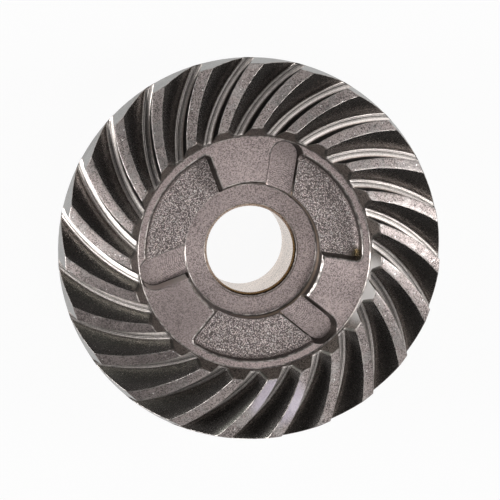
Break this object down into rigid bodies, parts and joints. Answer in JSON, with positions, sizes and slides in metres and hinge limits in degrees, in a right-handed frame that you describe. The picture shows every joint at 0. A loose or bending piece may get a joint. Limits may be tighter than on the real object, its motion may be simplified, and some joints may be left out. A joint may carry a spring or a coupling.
{
  "type": "spiral bevel gear",
  "caption": "Spiral bevel gear with a dog clutch on its front, a counterbored plain bore and a bearing journal on its back. It turns a pinion's drive through a right angle.",
  "frame": {"origin": "on the gear's axis at the end of the hub, which the gear rests on", "axes": "+Z along the gear's axis from the hub's end towards the teeth and dogs, +X and +Y across it"},
  "size_m": [0.1, 0.1, 0.0381],
  "materials": {
    "steel": "forged steel, machined on the teeth, dogs, bore and hub, satin, left as forged in the pockets"
  },
  "bodies": {
    "root": {"gear": "steel"}
  },
  "joints": []
}
